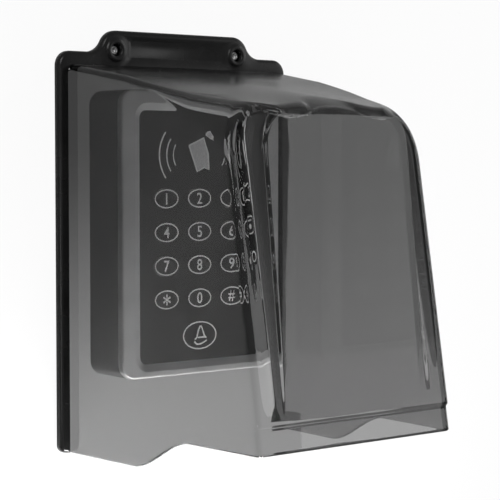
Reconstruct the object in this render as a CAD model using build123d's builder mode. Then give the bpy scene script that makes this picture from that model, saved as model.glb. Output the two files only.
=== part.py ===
# Rain cover over a keypad doorbell: black frame, smoked hood and the keypad on the wall inside.
# X runs right as seen from the front, Y into the wall and Z up. The wall is the plane Y = 0.
# The origin is midway between the two screw holes of the frame. Depths are counted forward from the wall.
from build123d import *
import os

os.makedirs("parts", exist_ok=True)

# Mounting frame
frame_border = 4.7
frame_thickness = 3.2
frame_shoulder = -1.0
frame_foot = -160.0
frame_corner_radius = 6.0
frame_foot_radius = 3.0
tab_top = 7.9
tab_flat_half = 29.7
tab_foot_half = 44.0
screw_hole_half_pitch = 30.8
screw_hole_radius = 2.3
boss_radius = 4.35
boss_height = 0.6
rim_width = 1.7
rim_height = 0.5
tab_recess_depth = 0.5
tab_recess_half_width = 25.5
tab_recess_half_height = 4.6
tab_recess_center = 0.6
lip_drop = 2.9
lip_flat_half = 32.0
lip_foot_half = 39.5
window_top = -7.6

# Smoked hood
hood_wall = 2.2
hood_back_half = 53.2
hood_ridge_half = 47.7
hood_ridge_inset = 2.4
roof_at_wall = -5.6
roof_fall = 0.165
roof_crown_back = 0.2
roof_crown_front = 2.4
roof_crown_start = 35.0
roof_crown_end = 70.0
ridge_top_depth = 93.0
ridge_lean = 0.1745
ridge_top_height = -21.5
pillow_rise = 6.7
pillow_spread = 13.2
pillow_bottom = -136.9
pillow_half = 35.1
pillow_corner_radius = 20.0
pillow_shoulder = 1.8
panel_slope = 10.0
panel_edge_lift = 0.5
flute_center = 38.8
flute_depth = 1.5
side_foot = -160.2
front_foot = -147.7
wave_start = 42.0
wave_end = 75.0
roof_edge_radius_back = 2.0
roof_edge_radius_front = 18.0
roof_edge_start = 41.5
roof_edge_growth = 2.0
inner_edge_radius = 0.6
roof_steps = 8
hood_flange_width = 3.0
hood_flange_thickness = 1.0
hood_flange_top = -14.0
hood_flange_bottom = -150.0
fit_gap = 0.15
cut_reach = 10.0

# Seal strip behind the hood's flange
seal_thickness = 0.5
seal_gap = 0.1

# Keypad body
keypad_center_x = -1.7
keypad_half_width = 38.9
keypad_top = -16.4
keypad_bottom = -130.3
keypad_depth = 22.8
keypad_corner_radius = 6.0
shell_wall = 2.0
shell_back = 1.8
shell_depth = 19.5
bezel_side = 9.0
bezel_top = 8.0
bezel_bottom = 5.4
bezel_bevel = 2.9
bezel_bevel_drop = 1.2
bezel_lip = 1.8
bezel_edge_radius = 0.9
bezel_gap = 0.1
opening_corner_radius = 3.2

# Face panel and keys
panel_thickness = 1.6
panel_recess = 1.8
key_edge_radius = 0.25
key_pitch_x = 16.5
key_pitch_z = 13.45
key_columns = 3
key_rows = 4
key_first_row = -59.4
key_width = 12.6
key_height = 8.5
bell_width = 17.9
bell_height = 12.3
bell_row = -115.0
key_gap = 0.3
key_proud = 0.3
key_lip = 0.8
key_lip_thickness = 1.0
key_lip_gap = 0.2
key_stem_radius = 1.7
key_stem_length = 1.3
key_travel = 0.5
key_end_gap = 0.1

# Circuit board and what it carries
board_thickness = 1.6
board_half_width = 29.5
board_top = -24.0
board_bottom = -124.0
switch_size = 6.0
switch_height = 1.6
plunger_radius = 1.5
plunger_height = 0.4
guide_thickness = 1.4
guide_half_width = 26.5
guide_margin = 5.0
guide_foot_margin = 1.25
guide_lift = 0.2
guide_hole_gap = 0.5
guide_post_radius = 1.2
guide_post_inset = 2.5
led_size = 2.0
led_height = 0.9
coil_half_width = 25.0
coil_half_height = 9.5
coil_center_z = -41.0
coil_strand_width = 3.0
coil_thickness = 0.8
buzzer_radius = 5.5
buzzer_height = 5.0
buzzer_wall = 0.8
buzzer_mouth_radius = 1.0
buzzer_x = -18.0
relay_x = 14.0
upper_parts_z = -50.0
relay_width = 15.5
relay_length = 19.0
relay_height = 7.6
terminal_width = 35.0
terminal_length = 8.0
terminal_height = 7.4
terminal_ways = 7
terminal_screw_radius = 1.6
terminal_screw_depth = 1.2
terminal_bottom = -120.5
chip_size = 10.0
chip_height = 1.4
chip_z = -80.0
small_edge = 0.5
chip_edge = 0.25

# Screws
board_screw_radius = 1.2
board_screw_half_x = 27.0
board_screw_top = -27.0
board_screw_bottom = -121.0
board_screw_length = 6.0
standoff_radius = 2.4
case_screw_radius = 1.25
case_screw_inset_x = 5.0
case_screw_inset_z = 5.4
case_boss_radius = 2.7
screw_head_height = 1.6
screw_head_ratio = 1.8
screw_slack = 0.05
screw_slot_width = 0.7
screw_end_gap = 0.4
case_screw_bite = 1.6

# Wall bracket of the keypad
bracket_thickness = 1.5
bracket_foot_width = 12.0
bracket_half_width = 30.0
bracket_top = -30.0
bracket_foot_depth = 9.0
bracket_slot_length = 8.0
bracket_slot_radius = 2.1
bracket_slot_half_pitch = 30.0
foot_gap = 0.3
lock_screw_radius = 1.5
lock_screw_depth = 6.0
cable_hole_radius = 6.0
cable_hole_z = -98.0
grommet_bore_radius = 3.6
grommet_flange = 1.6
grommet_flange_thickness = 0.8

# Places that follow from the sizes above
frame_half_width = hood_back_half + frame_border
panel_front = keypad_depth - panel_recess
panel_back = panel_front - panel_thickness
key_front = panel_front + key_proud
key_lip_front = panel_back - key_lip_gap
key_lip_back = key_lip_front - key_lip_thickness
stem_end = key_lip_back - key_stem_length
board_front = stem_end - key_travel - key_end_gap - plunger_height - switch_height
board_back = board_front - board_thickness
guide_front = key_lip_back - key_travel - guide_lift
shell_floor = shell_back + shell_wall
bezel_back = shell_depth + bezel_gap
guide_back = guide_front - guide_thickness
guide_top = key_first_row + key_height / 2 + guide_margin
guide_bottom = bell_row - bell_height / 2 - guide_foot_margin
foot_top = keypad_bottom + shell_wall + foot_gap + bracket_thickness
terminal_pitch = terminal_width / terminal_ways
keypad_center_z = (keypad_top + keypad_bottom) / 2
keypad_height = keypad_top - keypad_bottom
hood_flange_front = seal_thickness + seal_gap + hood_flange_thickness
hood_flange_height = hood_flange_top - hood_flange_bottom
hood_flange_middle = (hood_flange_top + hood_flange_bottom) / 2
side_taper = (hood_back_half - hood_ridge_half) / ridge_top_depth
pillow_top_depth = ridge_top_depth + pillow_rise
pillow_bottom_depth = pillow_top_depth + pillow_spread
pillow_height = ridge_top_height - pillow_bottom
pillow_lean = (pillow_bottom_depth - pillow_top_depth) / pillow_height
below_all = side_foot - cut_reach
panel_top = roof_at_wall - roof_fall * pillow_top_depth
panel_edge_rise = panel_top - ridge_top_height + pillow_rise - pillow_shoulder


def wall_plane(forward):
    """Plane parallel to the wall: local x is X, local y is Z, and it faces forward."""
    return Plane(origin=(0, -forward, 0), x_dir=(1, 0, 0), z_dir=(0, -1, 0))


def keypad_plane(forward, z=0.0):
    """The same plane, centred on the keypad's middle line."""
    return Plane(origin=(keypad_center_x, -forward, z), x_dir=(1, 0, 0), z_dir=(0, -1, 0))


def level_plane(z):
    """Level plane: local x is X, local y is forward, and it faces down."""
    return Plane(origin=(0, 0, z), x_dir=(1, 0, 0), z_dir=(0, 0, -1))


def side_plane(x):
    """Upright plane square to the wall: local x is forward, local y is Z, and it faces -X."""
    return Plane(origin=(x, 0, 0), x_dir=(0, -1, 0), z_dir=(-1, 0, 0))


def finish(piece, name):
    """Labels a finished piece and writes it."""
    piece.part.label = name
    export_step(piece.part, f"parts/{name}.step")


def ogee(start, end):
    """Two equal tangent arcs, level at both ends."""
    middle = ((start[0] + end[0]) / 2, (start[1] + end[1]) / 2)
    first = TangentArc(start, middle, tangent=(1, 0))
    TangentArc(middle, end, tangent=first % 1)


def frame_outline(forward, inset):
    """Outline of the frame at a depth, moved inward by inset."""
    side = frame_half_width - inset
    shoulder = frame_shoulder - inset
    corner = frame_corner_radius - inset
    foot_corner = frame_foot_radius - inset
    foot = frame_foot + inset
    with BuildSketch(wall_plane(forward)) as outline:
        with BuildLine():
            Line((0, tab_top - inset), (tab_flat_half, tab_top - inset))
            ogee((tab_flat_half, tab_top - inset), (tab_foot_half, shoulder))
            Line((tab_foot_half, shoulder), (side - corner, shoulder))
            RadiusArc((side - corner, shoulder), (side, shoulder - corner), corner)
            Line((side, shoulder - corner), (side, foot + foot_corner))
            RadiusArc((side, foot + foot_corner), (side - foot_corner, foot), foot_corner)
            Line((side - foot_corner, foot), (0, foot))
            mirror(about=Plane.YZ)
        make_face()
    return outline.sketch


def lip_line(line):
    """Lower line of the frame above the hood, which hangs lower in the middle."""
    Line((0, line - lip_drop), (lip_flat_half, line - lip_drop))
    ogee((lip_flat_half, line - lip_drop), (lip_foot_half, line))


def above_window():
    """Area above the frame's window, where the frame takes the place of the roof's rear edge."""
    half = frame_half_width
    with BuildSketch(wall_plane(0)) as outline:
        with BuildLine():
            lip_line(window_top)
            Polyline((lip_foot_half, window_top), (half, window_top), (half, tab_top), (0, tab_top))
            mirror(about=Plane.YZ)
        make_face()
    return outline.sketch


def window_outline():
    """Window of the frame, open at the foot and larger than the hood by the fit gap."""
    half = hood_back_half + fit_gap
    top = window_top + fit_gap
    with BuildSketch(wall_plane(0)) as outline:
        with BuildLine():
            lip_line(top)
            Polyline((lip_foot_half, top), (half, top), (half, below_all), (0, below_all))
            mirror(about=Plane.YZ)
        make_face()
    return outline.sketch


def ridge_depth(z):
    """Depth of the front corner ridges at height z."""
    return ridge_top_depth + ridge_lean * (ridge_top_height - z)


def pillow_depth(z):
    """Depth of the raised front panel at height z."""
    return pillow_top_depth + pillow_lean * (ridge_top_height - z)


def flute_fade(z):
    """Share of the flute's depth left at height z: full at the roof, none at the panel's foot."""
    share = (z - pillow_bottom) / pillow_height
    return min(max(share, 0.0), 1.0)


def hood_section(z, skin):
    """Level section of the hood, outside with skin 0 and inside with skin its wall."""
    ridge = ridge_depth(z) - skin
    fade = flute_fade(z)
    pillow = max(pillow_depth(z), ridge_depth(z)) - skin if fade > 0 else ridge
    valley = ridge - flute_depth * fade
    side = hood_ridge_half - skin
    corner = hood_ridge_inset
    valley_x = flute_center - skin / 2
    panel_x = pillow_half - skin
    back = hood_back_half - skin
    back_depth = -skin
    with BuildSketch(level_plane(z)) as section:
        with BuildLine():
            Line((back, back_depth), (side, ridge - corner))
            Bezier((side, ridge - corner), (side, ridge), (side - corner, ridge))
            Spline(
                (side - corner, ridge),
                (valley_x, valley),
                (panel_x, pillow),
                tangents=((-1, 0), (-1, 0), (-1, 0)),
            )
            Line((panel_x, pillow), (-panel_x, pillow))
            Spline(
                (-panel_x, pillow),
                (-valley_x, valley),
                (corner - side, ridge),
                tangents=((-1, 0), (-1, 0), (-1, 0)),
            )
            Bezier((corner - side, ridge), (-side, ridge), (-side, ridge - corner))
            Line((-side, ridge - corner), (-back, back_depth))
            Line((-back, back_depth), (back, back_depth))
        make_face()
    return section.sketch


def roof_height(forward):
    """Height of the roof's outside at a depth."""
    return roof_at_wall - roof_fall * forward


def crown_drop(forward):
    """Drop of the roof from its middle to its rounded edges, which grows towards the front."""
    share = min(max((forward - roof_crown_start) / (roof_crown_end - roof_crown_start), 0.0), 1.0)
    return roof_crown_back + (roof_crown_front - roof_crown_back) * share


def roof_edge_radius(forward):
    """Radius of the rounded edge between roof and side, which grows towards the front."""
    share = max(0.0, (forward - roof_edge_start) / (ridge_top_depth - roof_edge_start))
    return roof_edge_radius_back + (roof_edge_radius_front - roof_edge_radius_back) * share**roof_edge_growth


def roof_section(forward, skin):
    """Section parallel to the wall: crowned roof, rounded edges and sides that flare down."""
    half = hood_back_half - side_taper * forward - skin
    top = roof_height(forward) - skin
    radius = max(roof_edge_radius(forward) - skin, inner_edge_radius)
    edge = top - crown_drop(forward)
    flare = half + cut_reach
    with BuildSketch(wall_plane(forward)) as section:
        with BuildLine():
            Spline((0, top), (half - radius, edge), tangents=((1, 0), (1, 0)))
            RadiusArc((half - radius, edge), (half, edge - radius), radius)
            Polyline((half, edge - radius), (flare, below_all), (0, below_all))
            mirror(about=Plane.YZ)
        make_face()
    return section.sketch


def panel_field(plane, inset):
    """Field of the raised panel with round upper corners, moved inward by inset."""
    half = pillow_half + pillow_rise - inset
    radius = pillow_corner_radius - inset
    rise = panel_edge_rise - inset
    foot = below_all - ridge_top_height
    with BuildSketch(plane) as field:
        with BuildLine():
            Line((0, rise), (half - radius, rise))
            RadiusArc((half - radius, rise), (half, rise - radius), radius)
            Polyline((half, rise - radius), (half, foot), (0, foot))
            mirror(about=Plane.YZ)
        make_face()
    return field.sketch


def panel_space(skin):
    """Space behind the ridges, with the panel's field sloping in before them."""
    front = ridge_top_depth + panel_edge_lift - skin
    reach = below_all - ridge_top_height
    lean = Plane(origin=(0, -front, ridge_top_height), x_dir=(1, 0, 0), z_dir=(0, -1, ridge_lean))
    with BuildPart() as field:
        near = panel_field(lean, skin)
        far = panel_field(lean.offset(panel_slope), skin + panel_slope)
        loft(sections=[near, far], ruled=True)
    with BuildPart() as space:
        with BuildSketch(lean):
            with Locations((0, reach / 2)):
                Rectangle(frame_half_width * 2, -reach * 2)
        extrude(amount=-ridge_top_depth * 2)
        add(field.part)
    return space.part


def hood_body(skin):
    """Solid hood, outside with skin 0 or the hollow with skin its wall."""
    levels = [below_all, pillow_bottom, ridge_top_height, 0.0]
    step = (ridge_top_depth - roof_edge_start) / roof_steps
    depths = [-frame_thickness] + [roof_edge_start + step * i for i in range(roof_steps + 1)]
    depths.append(pillow_bottom_depth + cut_reach)
    with BuildPart() as block:
        loft(sections=[hood_section(z, skin) for z in levels], ruled=True)
    with BuildPart() as roof:
        loft(sections=[roof_section(depth, skin) for depth in depths], ruled=True)
    with BuildPart() as body:
        add(block.part)
        add(roof.part, mode=Mode.INTERSECT)
        add(panel_space(skin), mode=Mode.INTERSECT)
    return body.part


def below_foot():
    """Everything under the hood's lower edge, which steps up in a wave from wall to front."""
    reach = pillow_bottom_depth + cut_reach
    deep = below_all - cut_reach
    with BuildPart() as below:
        with BuildSketch(side_plane(frame_half_width)):
            with BuildLine():
                Line((-frame_thickness, side_foot), (wave_start, side_foot))
                ogee((wave_start, side_foot), (wave_end, front_foot))
                Polyline(
                    (wave_end, front_foot),
                    (reach, front_foot),
                    (reach, deep),
                    (-frame_thickness, deep),
                    (-frame_thickness, side_foot),
                )
            make_face()
        extrude(amount=frame_half_width * 2)
    return below.part


def hood_flange():
    """Thin strips along both sides, which the frame traps against the wall."""
    start = hood_flange_front - hood_flange_thickness
    half = hood_back_half
    with BuildPart() as strips:
        with BuildSketch(wall_plane(start)):
            with Locations((0, hood_flange_middle)):
                Rectangle((half + hood_flange_width) * 2, hood_flange_height)
                Rectangle(half * 2 - hood_wall, hood_flange_height, mode=Mode.SUBTRACT)
        extrude(amount=hood_flange_thickness)
    return strips.part


outer_hood = hood_body(0.0)
inner_hood = hood_body(hood_wall)
foot_cut = below_foot()
flange_strips = hood_flange()

with BuildPart() as rain_hood:
    add(outer_hood)
    add(flange_strips)
    add(inner_hood, mode=Mode.SUBTRACT)
    add(foot_cut, mode=Mode.SUBTRACT)
    # The frame reaches over the roof's rear edge, which is cut away for it
    extrude(above_window(), amount=frame_thickness + fit_gap, mode=Mode.SUBTRACT)
finish(rain_hood, "rain_hood")


# Frame: a plate round the back edge of the hood, with a raised rim and a tab for two wall screws
with BuildPart() as mounting_frame:
    extrude(frame_outline(0, 0), amount=frame_thickness)
    extrude(frame_outline(frame_thickness - rim_height, rim_width), amount=rim_height, mode=Mode.SUBTRACT)
    with BuildSketch(wall_plane(frame_thickness - rim_height - tab_recess_depth)):
        with Locations((0, tab_recess_center)):
            RectangleRounded(tab_recess_half_width * 2, tab_recess_half_height * 2, boss_height)
    extrude(amount=tab_recess_depth, mode=Mode.SUBTRACT)
    with BuildSketch(wall_plane(0)):
        with Locations((-screw_hole_half_pitch, 0), (screw_hole_half_pitch, 0)):
            Circle(boss_radius)
    extrude(amount=frame_thickness - rim_height + boss_height)
    extrude(window_outline(), amount=frame_thickness, mode=Mode.SUBTRACT)
    with BuildSketch(wall_plane(0)):
        with Locations((0, hood_flange_middle)):
            Rectangle((hood_back_half + hood_flange_width + fit_gap) * 2, hood_flange_height + fit_gap * 2)
    extrude(amount=hood_flange_front + fit_gap, mode=Mode.SUBTRACT)
    with BuildSketch(wall_plane(0)):
        with Locations((-screw_hole_half_pitch, 0), (screw_hole_half_pitch, 0)):
            Circle(screw_hole_radius)
    extrude(amount=frame_thickness + boss_height, mode=Mode.SUBTRACT)
finish(mounting_frame, "mounting_frame")

# Foam strips that the hood's flange presses on the wall
with BuildPart() as seal_strip:
    with BuildSketch(wall_plane(0)):
        with Locations((0, hood_flange_middle)):
            Rectangle((hood_back_half + hood_flange_width) * 2, hood_flange_height)
            Rectangle(hood_back_half * 2, hood_flange_height, mode=Mode.SUBTRACT)
    extrude(amount=seal_thickness)
finish(seal_strip, "seal_strip")


def keypad_outline(inset):
    """Rounded outline of the keypad, moved inward by inset."""
    RectangleRounded(
        (keypad_half_width - inset) * 2,
        keypad_height - inset * 2,
        keypad_corner_radius - inset,
    )


def bezel_opening(margin):
    """Window of the bezel, larger than the bare opening by margin."""
    width = (keypad_half_width - bezel_side + margin) * 2
    height = keypad_height - bezel_top - bezel_bottom + margin * 2
    with Locations((0, (bezel_bottom - bezel_top) / 2)):
        RectangleRounded(width, height, opening_corner_radius + margin)


def corner_points(half_x, low, high):
    """Four points about the keypad's middle line, at two heights counted from the screw holes."""
    return [(x, z) for x in (-half_x, half_x) for z in (low, high)]


case_screw_points = corner_points(
    keypad_half_width - case_screw_inset_x,
    keypad_bottom + case_screw_inset_z,
    keypad_top - case_screw_inset_z,
)
board_screw_points = corner_points(board_screw_half_x, board_screw_bottom, board_screw_top)
key_names = ["1", "2", "3", "4", "5", "6", "7", "8", "9", "star", "0", "hash"]
key_points = [
    ((column - (key_columns - 1) / 2) * key_pitch_x, key_first_row - row * key_pitch_z)
    for row in range(key_rows)
    for column in range(key_columns)
]
bell_point = (0.0, bell_row)
guide_post_points = corner_points(
    guide_half_width - guide_post_inset,
    guide_bottom + guide_margin + guide_post_inset,
    guide_top - guide_post_inset,
)
led_points = [
    (side * key_pitch_x / 2, key_first_row - (row + 0.5) * key_pitch_z)
    for side in (-1, 1)
    for row in range(key_rows)
]
head_radius = case_screw_radius * screw_head_ratio
lock_head_radius = lock_screw_radius * screw_head_ratio

# Rear shell: open box that stands on the wall and holds the board
with BuildPart() as rear_shell:
    with BuildSketch(keypad_plane(0, keypad_center_z)):
        keypad_outline(0)
    extrude(amount=shell_depth)
    with BuildSketch(keypad_plane(shell_floor, keypad_center_z)):
        keypad_outline(shell_wall)
    extrude(amount=shell_depth, mode=Mode.SUBTRACT)
    with BuildSketch(keypad_plane(0, keypad_center_z)):
        keypad_outline(shell_wall)
    extrude(amount=shell_back, mode=Mode.SUBTRACT)
    with BuildSketch(keypad_plane(shell_back)):
        with Locations(*case_screw_points):
            Circle(case_boss_radius)
    extrude(amount=shell_depth - shell_back)
    with BuildSketch(keypad_plane(shell_back)):
        with Locations(*board_screw_points):
            Circle(standoff_radius)
    extrude(amount=board_back - shell_back)
    with BuildSketch(keypad_plane(shell_back)):
        with Locations(*case_screw_points):
            Circle(case_screw_radius + screw_slack)
        with Locations((0, cable_hole_z)):
            Circle(cable_hole_radius)
    extrude(amount=shell_depth, mode=Mode.SUBTRACT)
    with BuildSketch(keypad_plane(shell_back)):
        with Locations(*case_screw_points):
            Circle(head_radius + fit_gap)
    extrude(amount=screw_head_height + fit_gap, mode=Mode.SUBTRACT)
    with BuildSketch(keypad_plane(shell_floor)):
        with Locations(*board_screw_points):
            Circle(board_screw_radius + screw_slack)
    extrude(amount=shell_depth, mode=Mode.SUBTRACT)
    # Slot in the back wall for the bracket's foot
    with BuildSketch(keypad_plane(0, foot_top - bracket_thickness / 2)):
        Rectangle(bracket_foot_width + foot_gap * 2, bracket_thickness + foot_gap * 2)
    extrude(amount=shell_floor, mode=Mode.SUBTRACT)
    # Hole in the bottom wall for the locking screw
    with BuildSketch(level_plane(keypad_bottom + shell_wall)):
        with Locations((keypad_center_x, lock_screw_depth)):
            Circle(lock_screw_radius + screw_slack)
    extrude(amount=shell_wall * 2, both=True, mode=Mode.SUBTRACT)
finish(rear_shell, "rear_shell")


# Bezel: silver ring with a bevel down to the face panel
with BuildPart() as bezel:
    with BuildSketch(keypad_plane(bezel_back, keypad_center_z)):
        keypad_outline(0)
    extrude(amount=keypad_depth - bezel_back)
    with BuildSketch(keypad_plane(bezel_back, keypad_center_z)):
        bezel_opening(bezel_lip)
    extrude(amount=panel_front - bezel_back, mode=Mode.SUBTRACT)
    with BuildSketch(keypad_plane(panel_front, keypad_center_z)):
        bezel_opening(0)
    extrude(amount=panel_recess, mode=Mode.SUBTRACT)
    with BuildSketch(keypad_plane(keypad_depth - bezel_bevel_drop, keypad_center_z)):
        bezel_opening(0)
    with BuildSketch(keypad_plane(keypad_depth, keypad_center_z)):
        bezel_opening(bezel_bevel)
    loft(mode=Mode.SUBTRACT)
    fillet(bezel.faces().sort_by(Axis.Y)[0].outer_wire().edges(), bezel_edge_radius)
    with BuildSketch(keypad_plane(bezel_back)):
        with Locations(*case_screw_points):
            Circle(case_screw_radius + screw_slack)
    extrude(amount=case_screw_bite + screw_end_gap, mode=Mode.SUBTRACT)
finish(bezel, "bezel")

# Face panel, with a hole for each key
with BuildPart() as face_panel:
    with BuildSketch(keypad_plane(panel_back, keypad_center_z)):
        bezel_opening(bezel_lip - fit_gap)
    extrude(amount=panel_thickness)
    with BuildSketch(keypad_plane(panel_back)):
        with Locations(*key_points):
            Ellipse((key_width + key_gap) / 2, (key_height + key_gap) / 2)
        with Locations(bell_point):
            Ellipse((bell_width + key_gap) / 2, (bell_height + key_gap) / 2)
    extrude(amount=panel_thickness, mode=Mode.SUBTRACT)
finish(face_panel, "face_panel")


def build_key(name, point, width, height):
    """One oval key: cap in the panel's hole, lip behind the panel and stem over its switch."""
    cap_x = (width - key_gap) / 2
    cap_z = (height - key_gap) / 2
    with BuildPart() as key:
        with BuildSketch(keypad_plane(key_lip_front)):
            with Locations(point):
                Ellipse(cap_x, cap_z)
        extrude(amount=key_front - key_lip_front)
        fillet(key.faces().sort_by(Axis.Y)[0].edges(), key_edge_radius)
        with BuildSketch(keypad_plane(key_lip_back)):
            with Locations(point):
                Ellipse(cap_x + key_lip, cap_z + key_lip)
        extrude(amount=key_lip_thickness)
        with BuildSketch(keypad_plane(stem_end)):
            with Locations(point):
                Circle(key_stem_radius)
        extrude(amount=key_stem_length)
    finish(key, name)


for key_name, key_point in zip(key_names, key_points):
    build_key(f"key_{key_name}", key_point, key_width, key_height)
build_key("bell_key", bell_point, bell_width, bell_height)

# Circuit board
with BuildPart() as circuit_board:
    with BuildSketch(keypad_plane(board_back, (board_top + board_bottom) / 2)):
        Rectangle(board_half_width * 2, board_top - board_bottom)
    extrude(amount=board_thickness)
    with BuildSketch(keypad_plane(board_back)):
        with Locations(*board_screw_points):
            Circle(board_screw_radius + screw_slack)
    extrude(amount=board_thickness, mode=Mode.SUBTRACT)
finish(circuit_board, "circuit_board")

# One tact switch under each key
with BuildPart() as tact_switches:
    with BuildSketch(keypad_plane(board_front)):
        with Locations(*key_points, bell_point):
            Rectangle(switch_size, switch_size)
    extrude(amount=switch_height)
    with BuildSketch(keypad_plane(board_front + switch_height)):
        with Locations(*key_points, bell_point):
            Circle(plunger_radius)
    extrude(amount=plunger_height)
finish(tact_switches, "tact_switches")

# Light guide: clear plate round the key stems, on four posts
with BuildPart() as light_guide:
    with BuildSketch(keypad_plane(guide_back, (guide_top + guide_bottom) / 2)):
        Rectangle(guide_half_width * 2, guide_top - guide_bottom)
    extrude(amount=guide_thickness)
    with BuildSketch(keypad_plane(guide_back)):
        with Locations(*key_points, bell_point):
            Circle(key_stem_radius + guide_hole_gap)
    extrude(amount=guide_thickness, mode=Mode.SUBTRACT)
    with BuildSketch(keypad_plane(board_front)):
        with Locations(*guide_post_points):
            Circle(guide_post_radius)
    extrude(amount=guide_back - board_front)
finish(light_guide, "light_guide")

# Lamps under the light guide, midway between the key columns and rows
with BuildPart() as backlight_leds:
    with BuildSketch(keypad_plane(board_front)):
        with Locations(*led_points):
            Rectangle(led_size, led_size)
    extrude(amount=led_height)
finish(backlight_leds, "backlight_leds")

# Flat antenna coil of the card reader
with BuildPart() as antenna_coil:
    with BuildSketch(keypad_plane(board_front, coil_center_z)):
        Rectangle(coil_half_width * 2, coil_half_height * 2)
        Rectangle(
            (coil_half_width - coil_strand_width) * 2,
            (coil_half_height - coil_strand_width) * 2,
            mode=Mode.SUBTRACT,
        )
    extrude(amount=coil_thickness)
finish(antenna_coil, "antenna_coil")

# Buzzer, relay, controller and terminals on the back of the board
with BuildPart() as buzzer:
    with BuildSketch(keypad_plane(board_back - buzzer_height)):
        with Locations((buzzer_x, upper_parts_z)):
            Circle(buzzer_radius)
            Circle(buzzer_mouth_radius, mode=Mode.SUBTRACT)
    extrude(amount=buzzer_height)
    with BuildSketch(keypad_plane(board_back - buzzer_height + buzzer_wall)):
        with Locations((buzzer_x, upper_parts_z)):
            Circle(buzzer_mouth_radius)
    extrude(amount=buzzer_height - buzzer_wall)
finish(buzzer, "buzzer")

with BuildPart() as relay:
    with BuildSketch(keypad_plane(board_back - relay_height)):
        with Locations((relay_x, upper_parts_z)):
            Rectangle(relay_width, relay_length)
    extrude(amount=relay_height)
    chamfer(relay.faces().sort_by(Axis.Y)[-1].edges(), small_edge)
finish(relay, "relay")

with BuildPart() as controller_chip:
    with BuildSketch(keypad_plane(board_back - chip_height)):
        with Locations((0, chip_z)):
            Rectangle(chip_size, chip_size)
    extrude(amount=chip_height)
    chamfer(controller_chip.faces().sort_by(Axis.Y)[-1].edges(), chip_edge)
finish(controller_chip, "controller_chip")

with BuildPart() as terminal_block:
    with BuildSketch(keypad_plane(board_back - terminal_height)):
        with Locations((0, terminal_bottom + terminal_length / 2)):
            Rectangle(terminal_width, terminal_length)
    extrude(amount=terminal_height)
    with BuildSketch(keypad_plane(board_back - terminal_height)):
        with Locations((0, terminal_bottom + terminal_length / 2)):
            with GridLocations(terminal_pitch, 1, terminal_ways, 1):
                Circle(terminal_screw_radius)
    extrude(amount=terminal_screw_depth, mode=Mode.SUBTRACT)
finish(terminal_block, "terminal_block")

# Screws that hold the board on its standoffs, from the front
with BuildPart() as board_screws:
    with BuildSketch(keypad_plane(board_front)):
        with Locations(*board_screw_points):
            Circle(board_screw_radius * screw_head_ratio)
    extrude(amount=screw_head_height)
    with BuildSketch(keypad_plane(board_front - board_screw_length)):
        with Locations(*board_screw_points):
            Circle(board_screw_radius)
    extrude(amount=board_screw_length)
finish(board_screws, "board_screws")

# Screws that hold the bezel on the rear shell, from the wall side
with BuildPart() as case_screws:
    with BuildSketch(keypad_plane(shell_back)):
        with Locations(*case_screw_points):
            Circle(head_radius)
    extrude(amount=screw_head_height)
    with BuildSketch(keypad_plane(shell_back)):
        with Locations(*case_screw_points):
            Circle(case_screw_radius)
    extrude(amount=bezel_back + case_screw_bite - shell_back)
finish(case_screws, "case_screws")

# Wall bracket: steel plate behind the keypad with a foot bent forward at the bottom
with BuildPart() as keypad_bracket:
    with BuildSketch(keypad_plane(0, (bracket_top + foot_top) / 2)):
        Rectangle(bracket_half_width * 2, bracket_top - foot_top)
    extrude(amount=bracket_thickness)
    with BuildSketch(keypad_plane(0, foot_top - bracket_thickness / 2)):
        Rectangle(bracket_foot_width, bracket_thickness)
    extrude(amount=bracket_foot_depth)
    with BuildSketch(keypad_plane(0)):
        with Locations((0, cable_hole_z)):
            Circle(cable_hole_radius + grommet_flange)
        with Locations((0, keypad_center_z + bracket_slot_half_pitch), (0, keypad_center_z)):
            SlotOverall(bracket_slot_length, bracket_slot_radius * 2)
    extrude(amount=bracket_thickness, mode=Mode.SUBTRACT)
    with BuildSketch(level_plane(foot_top + bracket_thickness)):
        with Locations((keypad_center_x, lock_screw_depth)):
            Circle(lock_screw_radius + screw_slack)
    extrude(amount=bracket_thickness * 2 + fit_gap, mode=Mode.SUBTRACT)
finish(keypad_bracket, "keypad_bracket")

# Locking screw from below, through the shell into the bracket's foot
with BuildPart() as locking_screw:
    with BuildSketch(level_plane(keypad_bottom)):
        with Locations((keypad_center_x, lock_screw_depth)):
            Circle(lock_head_radius)
    extrude(amount=screw_head_height)
    with BuildSketch(level_plane(foot_top + screw_end_gap)):
        with Locations((keypad_center_x, lock_screw_depth)):
            Circle(lock_screw_radius)
    extrude(amount=foot_top + screw_end_gap - keypad_bottom)
    with BuildSketch(level_plane(keypad_bottom - screw_head_height / 2)):
        with Locations((keypad_center_x, lock_screw_depth)):
            Rectangle(lock_head_radius * 2, screw_slot_width)
    extrude(amount=screw_head_height, mode=Mode.SUBTRACT)
finish(locking_screw, "locking_screw")

# Rubber grommet for the cable in the shell's back wall
with BuildPart() as cable_grommet:
    with BuildSketch(keypad_plane(shell_back)):
        with Locations((0, cable_hole_z)):
            Circle(cable_hole_radius - fit_gap)
    extrude(amount=shell_wall + fit_gap)
    with BuildSketch(keypad_plane(shell_floor + fit_gap)):
        with Locations((0, cable_hole_z)):
            Circle(cable_hole_radius + grommet_flange)
    extrude(amount=grommet_flange_thickness)
    with BuildSketch(keypad_plane(shell_back)):
        with Locations((0, cable_hole_z)):
            Circle(grommet_bore_radius)
    extrude(amount=shell_wall + fit_gap + grommet_flange_thickness, mode=Mode.SUBTRACT)
finish(cable_grommet, "cable_grommet")
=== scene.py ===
import math

import bmesh
import bpy
import numpy as np
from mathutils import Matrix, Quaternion, Vector


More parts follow.
